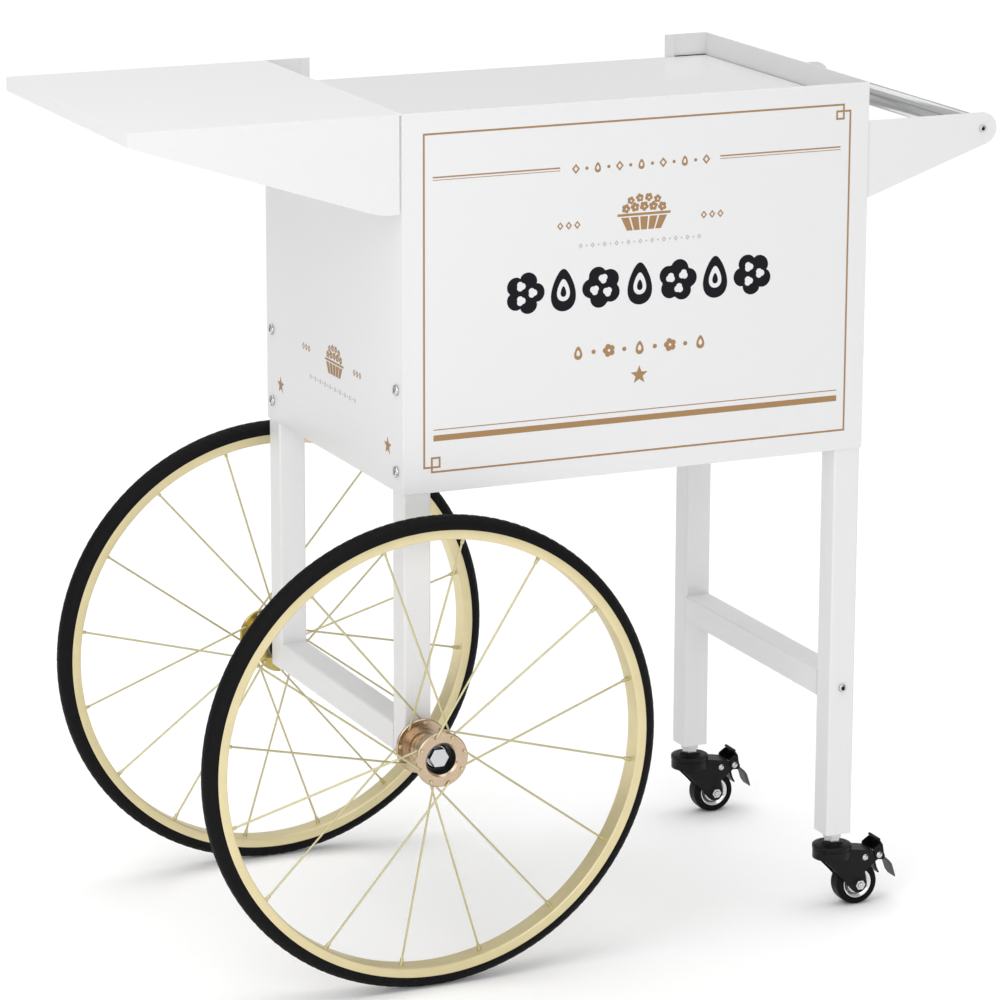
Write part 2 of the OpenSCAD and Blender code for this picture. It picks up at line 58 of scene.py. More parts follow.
def surface(name, color, rough, metal=0.0, tint=0.03, grain=600.0, bump=0.0,
            bump_scale=900.0, rough_var=0.06, coat=0.0, spec=0.5, glow=0.0,
            stretch=(1.0, 1.0, 1.0)):
    """A procedural finish: colour and roughness vary, and a fine bump sits on top."""
    mat = bpy.data.materials.new(name)
    mat.use_nodes = True
    tree = mat.node_tree
    tree.nodes.clear()
    out = tree.nodes.new("ShaderNodeOutputMaterial")
    bsdf = tree.nodes.new("ShaderNodeBsdfPrincipled")
    tree.links.new(bsdf.outputs["BSDF"], out.inputs["Surface"])
    bsdf.inputs["Metallic"].default_value = metal
    bsdf.inputs["Coat Weight"].default_value = coat
    bsdf.inputs["Coat Roughness"].default_value = COAT_ROUGHNESS
    bsdf.inputs["Specular IOR Level"].default_value = spec
    bsdf.inputs["Emission Strength"].default_value = glow
    coords = tree.nodes.new("ShaderNodeTexCoord")
    mapping = tree.nodes.new("ShaderNodeMapping")
    mapping.inputs["Scale"].default_value = stretch
    tree.links.new(coords.outputs["Object"], mapping.inputs["Vector"])

    def noise_tex(scale, detail=3.0):
        tex = tree.nodes.new("ShaderNodeTexNoise")
        tex.inputs["Scale"].default_value = scale
        tex.inputs["Detail"].default_value = detail
        tree.links.new(mapping.outputs["Vector"], tex.inputs["Vector"])
        return tex

    fine = noise_tex(grain)
    ramp = tree.nodes.new("ShaderNodeValToRGB")
    low = [c * (1 - tint) for c in color]
    high = [min(1.0, c * (1 + tint)) for c in color]
    ramp.color_ramp.elements[0].color = (*low, 1)
    ramp.color_ramp.elements[1].color = (*high, 1)
    ramp.color_ramp.elements[0].position = 0.3
    ramp.color_ramp.elements[1].position = 0.7
    tree.links.new(fine.outputs["Fac"], ramp.inputs["Fac"])
    tree.links.new(ramp.outputs["Color"], bsdf.inputs["Base Color"])

    broad = noise_tex(BROAD_GRAIN, 4.0)
    span = tree.nodes.new("ShaderNodeMapRange")
    span.inputs["To Min"].default_value = max(0.02, rough - rough_var)
    span.inputs["To Max"].default_value = rough + rough_var
    tree.links.new(broad.outputs["Fac"], span.inputs["Value"])
    tree.links.new(span.outputs["Result"], bsdf.inputs["Roughness"])
    if bump:
        texture = noise_tex(bump_scale, 2.0)
        node = tree.nodes.new("ShaderNodeBump")
        node.inputs["Strength"].default_value = bump
        node.inputs["Distance"].default_value = BUMP_DISTANCE
        tree.links.new(texture.outputs["Fac"], node.inputs["Height"])
        tree.links.new(node.outputs["Normal"], bsdf.inputs["Normal"])
    return mat


ENAMEL = surface("white_enamel", (0.73, 0.73, 0.737), 0.36, tint=0.012, bump=0.05,
                 bump_scale=700.0, rough_var=0.05, coat=0.15)
TOP_ENAMEL = surface("white_enamel_top", (0.77, 0.77, 0.775), 0.09, tint=0.012,
                     bump=0.02, bump_scale=400.0, rough_var=0.02, coat=0.5)
GOLD_INK = surface("gold_ink", (0.35, 0.21, 0.095), 0.5, tint=0.06, grain=900.0,
                   spec=0.2)
BLACK_INK = surface("black_ink", (0.008, 0.008, 0.011), 0.5, tint=0.2, grain=900.0,
                    spec=0.1)
GREY_INK = surface("grey_ink", (0.42, 0.40, 0.38), 0.5, tint=0.06, grain=900.0)
ZINC = surface("zinc_bolts", (0.55, 0.555, 0.565), 0.20, metal=1.0, tint=0.08,
               grain=900.0, bump=0.06, bump_scale=1500.0, rough_var=0.04)
CHROME = surface("polished_tube", (0.64, 0.645, 0.65), 0.10, metal=1.0, tint=0.02,
                 rough_var=0.03, stretch=(1.0, 0.05, 1.0), grain=2500.0)
RUBBER = surface("tyre_rubber", (0.0065, 0.006, 0.0065), 0.6, tint=0.25, bump=0.35,
                 bump_scale=1800.0, spec=0.08)
RIM_GOLD = surface("rim_gold", (0.71, 0.62, 0.37), 0.36, metal=0.75, tint=0.03,
                   grain=40.0, bump=0.04, bump_scale=1600.0, rough_var=0.05)
SPOKE_GOLD = surface("spoke_gold", (0.58, 0.53, 0.31), 0.38, metal=0.8, tint=0.06,
                     grain=60.0)
COPPER = surface("copper_hub", (0.52, 0.40, 0.285), 0.22, metal=0.95, tint=0.05,
                 grain=120.0, bump=0.05, bump_scale=1400.0, rough_var=0.03)
BRASS = surface("brass_hub", (0.50, 0.40, 0.14), 0.22, metal=0.95, tint=0.08,
                grain=120.0, bump=0.05, bump_scale=1400.0, rough_var=0.03)
# black of the bearing seals and the dark studio card, also used as painted shade in bolt
# sockets, worktop slots and hub bores
BLACK_SEAL_AND_SHADE = surface("seal_and_shade_black", (0.01, 0.01, 0.01), 0.45, tint=0.2, spec=0.1)
BLACK_STEEL = surface("black_steel", (0.006, 0.006, 0.0065), 0.34, tint=0.25,
                      bump=0.12, bump_scale=1300.0, spec=0.15)
BLACK_PLASTIC = surface("black_plastic", (0.012, 0.012, 0.013), 0.5, tint=0.2,
                        bump=0.3, bump_scale=1100.0, spec=0.2)
PAD_GREY = surface("pedal_pad", (0.075, 0.075, 0.078), 0.5, tint=0.35, grain=1500.0,
                   bump=0.4, bump_scale=900.0, spec=0.25)
SOFT_RUBBER = surface("caster_rubber", (0.005, 0.005, 0.0055), 0.40, tint=0.25,
                      bump=0.2, bump_scale=1500.0, spec=0.07)
CORE_METAL = surface("caster_core", (0.74, 0.745, 0.76), 0.2, metal=0.9, tint=0.05,
                     grain=300.0, bump=0.06, rough_var=0.04)
FLOOR = surface("studio_floor", (0.98, 0.98, 0.98), 0.9, tint=0.004, spec=0.1)
CARD = surface("studio_card", (0.9, 0.9, 0.9), 0.9, tint=0.004, glow=0.25)
GREY_CARD = surface("grey_card", (0.55, 0.55, 0.55), 0.9, tint=0.004)


# ------------------------------------------------------------------ mesh helpers

def shade(mesh, angle=35.0):
    """Smooth faces, with the edges sharper than the angle kept crisp."""
    bm = bmesh.new()
    bm.from_mesh(mesh)
    bmesh.ops.recalc_face_normals(bm, faces=bm.faces)
    for face in bm.faces:
        face.smooth = True
    for edge in bm.edges:
        if len(edge.link_faces) == 2 and edge.calc_face_angle(0) > math.radians(angle):
            edge.smooth = False
    bm.to_mesh(mesh)
    bm.free()


def piece(name, verts, faces, material, body, angle=35.0):
    """A new visible piece that rides a body."""
    mesh = bpy.data.meshes.new(name)
    mesh.from_pydata([tuple(v) for v in verts], [], faces)
    mesh.validate()
    shade(mesh, angle)
    mesh.materials.append(material)
    ob = bpy.data.objects.new(name, mesh)
    scene.collection.objects.link(ob)
    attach(ob, body)
    return ob


class Build:
    """Collects the vertices and faces of one piece."""

    def __init__(self):
        self.verts = []
        self.faces = []

    def grid(self, rows, close_u=False, close_v=False):
        """rows: equal-length lists of points, joined into quads."""
        start = len(self.verts)
        n, m = len(rows), len(rows[0])
        for row in rows:
            self.verts.extend(row)
        for i in range(n if close_u else n - 1):
            for j in range(m if close_v else m - 1):
                a = start + i * m + j
                b = start + i * m + (j + 1) % m
                c = start + ((i + 1) % n) * m + (j + 1) % m
                d = start + ((i + 1) % n) * m + j
                self.faces.append((a, b, c, d))
        return start

    def lathe(self, profile, place, steps=64, ring=True):
        """profile: (radius, height) pairs; place maps (x, y, z) to the cart."""
        rows = []
        for i in range(steps):
            a = 2 * PI * i / steps
            rows.append([place(r * math.cos(a), r * math.sin(a), h) for r, h in profile])
        start = self.grid(rows, close_u=True, close_v=ring)
        if not ring:
            m = len(profile)
            for j in (0, m - 1):
                self.faces.append([start + i * m + j for i in range(steps)])
        return start

    def prism(self, outline, low, high, place):
        """A flat outline between two heights."""
        n = len(outline)
        start = len(self.verts)
        for h in (low, high):
            self.verts.extend(place(x, y, h) for x, y in outline)
        self.faces.append(list(range(start, start + n)))
        self.faces.append(list(range(start + n, start + 2 * n)))
        for i in range(n):
            j = (i + 1) % n
            self.faces.append((start + i, start + j, start + n + j, start + n + i))

    def tube(self, points, radii, sides=12, cap=True):
        """A round tube swept along points."""
        points = [Vector(p) for p in points]
        if not isinstance(radii, (list, tuple)):
            radii = [radii] * len(points)
        rows = []
        side = None
        for i, p in enumerate(points):
            before = points[max(0, i - 1)]
            after = points[min(len(points) - 1, i + 1)]
            along = (after - before).normalized()
            if side is None:
                side = along.orthogonal().normalized()
            side = (side - along * side.dot(along)).normalized()
            other = along.cross(side)
            rows.append([p + radii[i] * (side * math.cos(2 * PI * k / sides)
                                         + other * math.sin(2 * PI * k / sides))
                         for k in range(sides)])
        start = self.grid(rows, close_v=True)
        if cap:
            last = start + (len(points) - 1) * sides
            self.faces.append(list(range(start, start + sides)))
            self.faces.append(list(range(last, last + sides)))

    def make(self, name, material, body, angle=35.0, finish=None):
        return piece(name, self.verts, self.faces, material, body, angle)


BEVEL_ANGLE = math.radians(32.0)
FLAT_ANGLE = math.radians(1.0)


def dress(node, material, bevel=0.0):
    """Gives a CAD node its finish and, with modifiers only, small rounded edges."""
    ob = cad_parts[node]
    ob.data.materials.clear()
    ob.data.materials.append(material)
    for p in ob.data.polygons:
        p.use_smooth = True
    weld = ob.modifiers.new("weld", "WELD")
    weld.merge_threshold = 1e-6
    if bevel:
        flat = ob.modifiers.new("flat", "DECIMATE")
        flat.decimate_type = "DISSOLVE"
        flat.angle_limit = FLAT_ANGLE
        soft = ob.modifiers.new("soft_edges", "BEVEL")
        soft.width = bevel
        soft.segments = 2
        soft.limit_method = "ANGLE"
        soft.angle_limit = BEVEL_ANGLE
        soft.harden_normals = False
        soft.use_clamp_overlap = True
    even = ob.modifiers.new("even_normals", "WEIGHTED_NORMAL")
    even.keep_sharp = True
    even.weight = 100


def at(cx, cy, cz, x_dir, y_dir, z_dir):
    """Maps local millimetres to the cart through an origin and three directions."""
    origin, u, v, w = Vector((cx, cy, cz)), Vector(x_dir), Vector(y_dir), Vector(z_dir)
    return lambda x, y, z: origin + (u * x + v * y + w * z) * MM


# ------------------------------------------------------------------ camera and light

AZ, EL, ROLL = math.radians(-23.97), math.radians(14.37), math.radians(0.17)
AIM = Vector((-0.00143, 0.00539, 0.4437))
DISTANCE = 4.8074
LENS = 161.74

back = Vector((math.sin(AZ) * math.cos(EL), -math.cos(AZ) * math.cos(EL), math.sin(EL)))
level_right = Vector((0, 0, 1)).cross(back).normalized()
level_up = back.cross(level_right)
right = level_right * math.cos(ROLL) + level_up * math.sin(ROLL)
up = level_up * math.cos(ROLL) - level_right * math.sin(ROLL)
cam_data = bpy.data.cameras.new("camera")
cam_data.lens = LENS
cam_data.sensor_width = 36.0
cam_data.clip_end = 100.0
cam = bpy.data.objects.new("camera", cam_data)
scene.collection.objects.link(cam)
pose = Matrix((right, up, back)).transposed().to_4x4()
pose.translation = AIM + back * DISTANCE
cam.matrix_world = pose
scene.camera = cam
scene.view_settings.view_transform = "Standard"

# a white backdrop, and a dimmer even light on the cart
BACKDROP, ROOM = 1.0, 0.4
world = bpy.data.worlds.new("studio")
scene.world = world
world.use_nodes = True
sky = world.node_tree
white = sky.nodes["Background"]
white.inputs["Color"].default_value = (1, 1, 1, 1)
white.inputs["Strength"].default_value = BACKDROP
room = sky.nodes.new("ShaderNodeBackground")
room.inputs["Color"].default_value = (1, 1, 1, 1)
room.inputs["Strength"].default_value = ROOM
seen = sky.nodes.new("ShaderNodeLightPath")
both = sky.nodes.new("ShaderNodeMixShader")
sky.links.new(seen.outputs["Is Camera Ray"], both.inputs["Fac"])
sky.links.new(room.outputs["Background"], both.inputs[1])
sky.links.new(white.outputs["Background"], both.inputs[2])
sky.links.new(both.outputs["Shader"], sky.nodes["World Output"].inputs["Surface"])


def light(name, kind, direction, strength):
    """A lamp whose beam comes from a direction."""
    data = bpy.data.lights.new(name, kind)
    data.energy = strength
    ob = bpy.data.objects.new(name, data)
    ob.rotation_euler = Vector(direction).to_track_quat("Z", "Y").to_euler()
    scene.collection.objects.link(ob)
    return ob


def sun(name, direction, strength, angle):
    light(name, "SUN", direction, strength).data.angle = math.radians(angle)


def softbox(name, place, aim, size, power):
    ob = light(name, "AREA", Vector(place) - Vector(aim), power)
    ob.location = place
    ob.data.size = size


sun("key", (-0.12, -1.0, 0.42), 0.58, 40)
sun("top", (0.1, 0.15, 1.0), 1.78, 70)
sun("back", (0.1, 1.0, 0.5), 0.17, 60)
softbox("left_box", (-1.9, -1.9, 1.3), (-0.3, 0.0, 0.8), 1.6, 13.9)
softbox("high_box", (-1.6, -0.9, 2.4), (-0.3, 0.0, 0.9), 1.6, 14.2)


CARDS_Y = 0.62


def sheet(name, corners, material):
    """A flat piece of the studio."""
    mesh = bpy.data.meshes.new(name)
    mesh.from_pydata(corners, [], [(0, 1, 2, 3)])
    mesh.materials.append(material)
    ob = bpy.data.objects.new(name, mesh)
    scene.collection.objects.link(ob)
    return ob


def reflected(name, x0, x1, z0, z1, material):
    """An upright card behind the cart that only reflections see."""
    y = CARDS_Y
    card = sheet(name, [(x0, y, z0), (x1, y, z0), (x1, y, z1), (x0, y, z1)], material)
    card.visible_camera = card.visible_diffuse = card.visible_shadow = False


sheet("floor", [(-30, -30, 0), (30, -30, 0), (30, 30, 0), (-30, 30, 0)], FLOOR)
# these give the polished handle its dark, bright and grey bands
reflected("dark_card", 0.02, 0.2, 0.79, 0.90, BLACK_SEAL_AND_SHADE)
reflected("bright_card", 0.4, 0.8, 1.08, 1.26, CARD)
reflected("low_card", -0.05, 0.8, 0.48, 0.785, GREY_CARD)


# ------------------------------------------------------------------ spoked wheels

SPOKES = 16
SPOKE_START = 13.6              # degrees, where spoke 0 meets the rim
SPOKE_HOLES = 25.0              # radius of the ring of holes in each hub flange
FLANGES = (24.45, -26.25)       # middles of the outer and inner hub flanges
TYRE_R = 12.2                   # radius of the tyre's section
TREAD_STEPS, TREAD_RIBS = 780, 30
TREAD_ANGLE = 118               # half the arc of the section that stands off the rim


def spoke_ends(k):
    """Angles of spoke k at hub and rim, its hub flange, and the way it leans."""
    flange = FLANGES[k % 2]
    lean = -1 if (k // 2) % 2 == 0 else 1
    rim_angle = SPOKE_START + 360 / SPOKES * k
    hub_angle = rim_angle + 45 * lean + 3
    return hub_angle, rim_angle, flange, lean


def polar(radius, degrees, w):
    """A point of the wheel, in millimetres from its centre; w runs outwards."""
    return Vector((radius * math.cos(math.radians(degrees)),
                   radius * math.sin(math.radians(degrees)), w))


def make_wheel(out, tag, hub_material):
    """Everything that turns on one axle; out is the side the wheel faces."""
    low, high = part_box("tyre_" + tag)
    centre = (low + high) / 2
    radius = round((high.x - low.x) / 2 / MM, 0)
    body = "wheel_" + tag
    place_w = at(centre.x, centre.y, centre.z, (1, 0, 0), (0, 0, 1), (0, out, 0))

    # tyre: rounded tread with shallow slanted blocks, and smooth sidewalls
    tyre = Build()
    rows = []
    for i in range(TREAD_STEPS):
        a = 2 * PI * i / TREAD_STEPS
        row = []
        for j in range(TREAD_RIBS + 1):
            phi = math.radians(-TREAD_ANGLE + 2 * TREAD_ANGLE * j / TREAD_RIBS)
            r = TYRE_R
            reach = abs(math.degrees(phi))
            if reach < 74:
                slant = abs(j - TREAD_RIBS / 2) * 0.9
                cell = (i + slant) % 6
                if cell < 1.6 or (j % 5 == 0 and 12 < reach):
                    r -= 0.45
                elif cell < 2.4:
                    r -= 0.2
            rad = radius - TYRE_R + r * math.cos(phi)
            row.append(place_w(rad * math.cos(a), rad * math.sin(a), r * math.sin(phi)))
        for rad, w in ((radius - 20.9, 10.6), (radius - 20.9, -10.6)):
            row.append(place_w(rad * math.cos(a), rad * math.sin(a), w))
        rows.append(row)
    tyre.grid(rows, close_u=True, close_v=True)
    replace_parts(tyre.make("tyre_tread_" + tag, RUBBER, body, 60.0, "tyre_rubber"),
                "tyre_" + tag)

    # rim: flat flanges, rolled lips and a slightly crowned inner face
    rim = Build()
    r0 = radius - 23.5
    profile = [(r0, 0.0)]
    for t in range(1, 9):
        w = 11.2 * t / 8
        profile.append((r0 + 0.35 * (w / 11.2) ** 2, w))
    profile += [(r0 + 0.6, 11.8), (r0 + 1.2, 12.1), (r0 + 1.9, 12.2),
                (radius - 13.6, 12.2), (radius - 12.9, 12.0), (radius - 12.7, 11.5),
                (radius - 12.75, 10.95), (radius - 13.2, 10.8), (radius - 21.3, 10.8)]
    loop = profile + [(r, -w) for r, w in reversed(profile[1:])]
    rim.lathe(loop, place_w, 360)
    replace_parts(rim.make("rim_band_" + tag, RIM_GOLD, body, 50.0, "gold_alloy"),
                "rim_" + tag)

    # spokes with bent elbows and mushroom heads; nipples with square shoulders
    spokes, nipples = Build(), Build()
    for k in range(SPOKES):
        hub_angle, rim_angle, flange, lean = spoke_ends(k)
        head, base, straight, start, bend = (
            polar(SPOKE_HOLES, hub_angle, flange + lean * w)
            for w in (-2.9, -2.6, 1.2, 1.4, 3.5))
        tip = polar(radius - 22, rim_angle, 0)
        along = (tip - bend).normalized()
        end = bend + along * 2.4
        path = [head, straight]
        for t in (0.15, 0.35, 0.6, 0.85):
            path.append(start.lerp(bend, t).lerp(bend.lerp(end, t), t))
        path += [bend + along * 2.6, tip - along * 1.5]
        spokes.tube([place_w(*p) for p in path], 1.1 * MM, 10)
        # head
        cap = [(0.01, -0.7), (1.2, -0.65), (1.9, -0.35), (2.1, 0.0), (1.3, 0.75)]
        spokes.lathe(cap, lambda x, y, z, b=base, s=lean:
                     place_w(b.x + x, b.y + y, b.z + z * s), 16, ring=False)
        # nipple
        ref = along.orthogonal().normalized()
        oth = along.cross(ref)
        shape = [(1.2, -8.4), (1.7, -8.3), (1.85, -8.0), (1.85, -4.2), (2.25, -3.9),
                 (2.25, -0.6), (1.2, 0.0)]
        nipples.lathe(shape, lambda x, y, z, t=tip, d=along, u=ref, v=oth:
                      place_w(*(t + d * z + u * x + v * y)), 16, ring=False)
    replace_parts(spokes.make("spoke_set_" + tag, SPOKE_GOLD, body, 50.0, "gold_alloy"),
                "spokes_" + tag)
    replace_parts(nipples.make("nipple_set_" + tag, SPOKE_GOLD, body, 40.0, "gold_alloy"),
                "nipples_" + tag)

    dress("hub_" + tag, hub_material, 0.0004)

    # bearings: outer race, dark seal and inner race
    bearings = Build()
    seals_and_bore_shade = Build()
    for w0 in (-1.0, -28.0):
        bearings.lathe([(16.0, w0 + 0.4), (15.6, w0), (13.6, w0), (13.4, w0 + 0.4),
                        (13.4, w0 + 9.6), (13.6, w0 + 10), (15.6, w0 + 10),
                        (16.0, w0 + 9.6)], place_w, 64)
        bearings.lathe([(8.6, w0 + 0.4), (8.4, w0), (6.3, w0), (6.0, w0 + 0.3),
                        (6.0, w0 + 9.7), (6.3, w0 + 10), (8.4, w0 + 10),
                        (8.6, w0 + 9.6)], place_w, 64)
        seals_and_bore_shade.lathe([(13.35, w0 + 0.9), (13.2, w0 + 0.5), (8.8, w0 + 0.5),
                     (8.65, w0 + 0.9), (8.65, w0 + 9.1), (8.8, w0 + 9.5),
                     (13.2, w0 + 9.5), (13.35, w0 + 9.1)], place_w, 64)
    # painted shade: a dark lining inside the hub's open end stands for the shade in the bore
    seals_and_bore_shade.lathe([(15.5, 9.7), (15.95, 9.7), (15.95, 23.4), (15.5, 23.4)], place_w, 64)
    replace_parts(bearings.make("bearing_races_" + tag, ZINC, body, 40, "bearing_steel"),
                "bearings_" + tag)
    seals_and_bore_shade.make("bearing_seals_and_bore_shade_" + tag, BLACK_SEAL_AND_SHADE, body, 40, "bearing_steel")

    # the axle bolt, washer and stand-off keep their CAD shapes
    dress("axle_" + tag, ZINC, 0.0005)
    dress("axle_spacers_" + tag, ZINC, 0.0003)


make_wheel(-1, "front", COPPER)
make_wheel(1, "rear", BRASS)


# ------------------------------------------------------------------ cabinet and frame

for node in ("front_panel", "left_panel", "right_panel", "floor_panel", "side_shelf"):
    dress(node, ENAMEL, 0.0005)
dress("worktop", TOP_ENAMEL, 0.0008)
for node in ("leg_front_left", "leg_rear_left", "leg_front_right", "leg_rear_right",
             "crossbar_left", "crossbar_right"):
    dress(node, ENAMEL)
for node in ("handle_bracket_front", "handle_bracket_rear"):
    dress(node, ENAMEL, 0.0006)
dress("handle_tube", CHROME, 0.0004)
dress("handle_plugs", BLACK_PLASTIC, 0.0004)
dress("leg_plugs", BLACK_PLASTIC, 0.0004)


def islands(node):
    """Lowest and highest corners of each separate solid in a CAD node."""
    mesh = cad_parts[node].data
    keys = [tuple(round(c, 5) for c in v.co) for v in mesh.vertices]
    parent = {k: k for k in keys}

    def root(k):
        while parent[k] != k:
            parent[k] = parent[parent[k]]
            k = parent[k]
        return k

    for face in mesh.polygons:
        first = root(keys[face.vertices[0]])
        for i in face.vertices[1:]:
            parent[root(keys[i])] = first
    groups = {}
    for k in parent:
        groups.setdefault(root(k), []).append(k)
    return sorted(([min(p[i] for p in g) for i in range(3)],
                   [max(p[i] for p in g) for i in range(3)]) for g in groups.values())


ROUND = 36                      # steps round a bolt head or nut
NUT_DEPTH = 0.0055              # a shorter solid than this is a nut


def hexagon(flats, a):
    """Radius of a hexagon at an angle."""
    return flats / 2 / math.cos((a % (PI / 3)) - PI / 6)


def turned(build, place, section, close_v=False):
    """Sweeps section(angle), a list of (radius, height), once round."""
    rows = []
    for i in range(ROUND):
        a = 2 * PI * i / ROUND
        rows.append([place(q * math.cos(a), q * math.sin(a), h) for q, h in section(a)])
    start = build.grid(rows, close_u=True, close_v=close_v)
    return start, len(rows[0])


def nut(nuts, place, flats, half, bore):
    """A hexagon nut with chamfered corners."""
    def section(a):
        r = hexagon(flats, a)
        return [(bore, -half), (flats * 0.47, -half), (r, -half + 0.5),
                (r, half - 0.5), (flats * 0.47, half), (bore, half)]
    turned(nuts, place, section, close_v=True)


def button_head(bolts, place, r0, head_h):
    """A domed head with a hexagon socket."""
    def section(a):
        socket_r = hexagon(r0 * 0.92, a)
        row = [(r0 * 0.96, 0.0), (r0, head_h * 0.12), (r0, head_h * 0.3)]
        for t in (25, 45, 60, 72):
            f = math.radians(t)
            row.append((r0 * (0.55 + 0.45 * math.cos(f)),
                        head_h * (0.3 + 0.7 * math.sin(f))))
        return row + [(socket_r + 0.15, head_h), (socket_r, head_h * 0.94),
                      (socket_r * 0.96, head_h * 0.35)]
    start, m = turned(bolts, place, section)
    for j in (0, m - 1):
        bolts.faces.append([start + i * m + j for i in range(ROUND)])


def threaded(bolts, place, shank_r, length):
    """A shank with rings of thread down to its end."""
    thread = [(shank_r, 0.1), (shank_r, -min(length * 0.3, 6.0))]
    z = thread[-1][1]
    while z > -length + 1.2:
        thread += [(shank_r * 0.86, z - 0.35), (shank_r, z - 0.7)]
        z -= 0.7
    thread += [(shank_r * 0.8, -length)]
    bolts.lathe(thread, place, 20, ring=False)


def bolt_set(node, axis, out, head_h, shank_r):
    """Socket-head bolts and nuts where the CAD has them. The bolts lie along an axis,
    and out is the way their heads face, or 0 where they face away from the middle."""
    bolts, nuts, socket_shades = Build(), Build(), Build()
    for low, high in islands(node):
        size = [h - l for l, h in zip(low, high)]
        centre = [(h + l) / 2 for l, h in zip(low, high)]
        side = out or (1 if centre[axis] > 0 else -1)
        along = [side if i == axis else 0 for i in range(3)]
        across = (0, 0, 1)
        third = Vector(along).cross(Vector(across))
        if size[axis] < NUT_DEPTH:
            flats = min(size[1 - axis], size[2]) / MM
            nut(nuts, at(*centre, across, third, along), flats, size[axis] / 2 / MM,
                shank_r + 0.05)
            continue
        base = list(centre)
        base[axis] = (high[axis] if side > 0 else low[axis]) - side * head_h * MM
        place = at(*base, across, third, along)
        r0 = size[1 - axis] / MM / 2
        button_head(bolts, place, r0, head_h)
        # painted shade: a dark plug sits in each hexagon socket, standing for the shadow in
        # it
        socket_shade_outline = []
        for i in range(ROUND):
            a = 2 * PI * i / ROUND
            r = hexagon(r0 * 0.88, a)
            socket_shade_outline.append((r * math.cos(a), r * math.sin(a)))
        socket_shades.prism(socket_shade_outline, head_h * 0.36, head_h * 0.5, place)
        threaded(bolts, place, shank_r, size[axis] / MM - head_h)
    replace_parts(bolts.make(node + "_socket_heads", ZINC, "frame", 38.0, "zinc_bolts"), node)
    socket_shades.make(node + "_socket_shades", BLACK_SEAL_AND_SHADE, "frame", 30.0, "zinc_bolts")
    if nuts.verts:
        nuts.make(node + "_nuts", ZINC, "frame", 30.0, "zinc_bolts")


bolt_set("leg_bolts", 0, 0, 3.5, 3.0)
bolt_set("shelf_bolts", 0, 1, 2.6, 2.5)
bolt_set("bracket_bolts", 0, 1, 2.8, 3.0)
bolt_set("handle_bolts", 1, 0, 2.4, 2.0)
bolt_set("crossbar_bolts", 1, 0, 3.0, 4.0)


# painted shade: dark strips fill the slots between the worktop and the sheets behind and
# beside it, standing for the shadow down in the slots
SHEET = 0.0014                  # sheet thickness and clearance
panel_low, panel_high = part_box("right_panel")
top_low, top_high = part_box("worktop")
slot_shade = Build()
for x0, x1, y0, y1, rise in (
        (panel_low.x + 0.0117, panel_high.x - SHEET, top_high.y + 0.0001,
         panel_high.y - SHEET, 0.0006),
        (top_high.x + 0.0001, top_high.x + 0.0003, top_low.y, top_high.y, 0.0)):
    slot_shade.prism([(x0, y0), (x1, y0), (x1, y1), (x0, y1)], top_high.z - 0.004,
               top_high.z + rise, lambda x, y, z: Vector((x, y, z)))
slot_shade.make("worktop_slot_shade", BLACK_SEAL_AND_SHADE, "frame")


# ------------------------------------------------------------------ casters

CASTER_LOOKS = (("stem", ZINC, 0.0004), ("cap", BLACK_STEEL, 0.0003),
                ("fork", BLACK_STEEL, 0.0004), ("axle", ZINC, 0.0003),
                ("rivets", ZINC, 0.0002), ("shoe", BLACK_STEEL, 0.0004),
                ("core", CORE_METAL, 0.0), ("tyre", SOFT_RUBBER, 0.0),
                ("pedal", BLACK_STEEL, 0.0003), ("pad", PAD_GREY, 0.0004))

for tag in ("front", "rear"):
    for part, material, bevel in CASTER_LOOKS:
        dress("caster_" + tag + "_" + part, material, bevel)


# ------------------------------------------------------------------ printed decoration

INK = 0.00008                   # thickness of the printed shapes
LIFT = 0.00006                  # from the sheet to the middle of the ink

front_low, front_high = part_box("front_panel")
left_low, left_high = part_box("left_panel")


def print_flat(name, shapes, material, face):
    """Thin printed shapes: outlines, or lists of an outline and its holes. They are in
    millimetres, down from the sheet's top edge, and across from the front sheet's left
    edge or the left sheet's middle."""
    mesh = bpy.data.meshes.new(name)
    bm = bmesh.new()
    for shape in shapes:
        loops = shape if isinstance(shape[0], list) else [shape]
        edges = []
        for loop in loops:
            verts = [bm.verts.new((x * MM, y * MM, -INK / 2)) for x, y in loop]
            edges += [bm.edges.new((verts[i - 1], verts[i])) for i in range(len(verts))]
        bmesh.ops.triangle_fill(bm, edges=edges, use_beauty=True, use_dissolve=False)
    got = bmesh.ops.extrude_face_region(bm, geom=bm.faces[:])
    moved = [v for v in got["geom"] if isinstance(v, bmesh.types.BMVert)]
    bmesh.ops.translate(bm, verts=moved, vec=(0, 0, INK))
    bmesh.ops.recalc_face_normals(bm, faces=bm.faces)
    bm.to_mesh(mesh)
    bm.free()
    if face == "front":
        turn = Matrix(((1, 0, 0, front_low.x), (0, 0, 1, front_low.y - LIFT),
                       (0, -1, 0, front_high.z), (0, 0, 0, 1)))
    else:
        turn = Matrix(((0, 0, 1, left_low.x - LIFT), (-1, 0, 0, 0),
                       (0, -1, 0, left_high.z), (0, 0, 0, 1)))
    mesh.transform(turn)
    mesh.materials.append(material)
    ob = bpy.data.objects.new(name, mesh)
    scene.collection.objects.link(ob)
    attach(ob, "frame")


def bar(x0, y0, x1, y1):
    return [(x0, y0), (x1, y0), (x1, y1), (x0, y1)]


def rule(x0, x1, y, w):
    return bar(x0, y - w / 2, x1, y + w / 2)


def post(x, y0, y1, w):
    return bar(x - w / 2, y0, x + w / 2, y1)


def star(x, y, r):
    """A plain five-pointed star."""
    out = []
    for i in range(10):
        a = -PI / 2 + PI * i / 5
        q = r if i % 2 == 0 else r * 0.42
        out.append((x + q * math.cos(a), y + q * math.sin(a)))
    return out


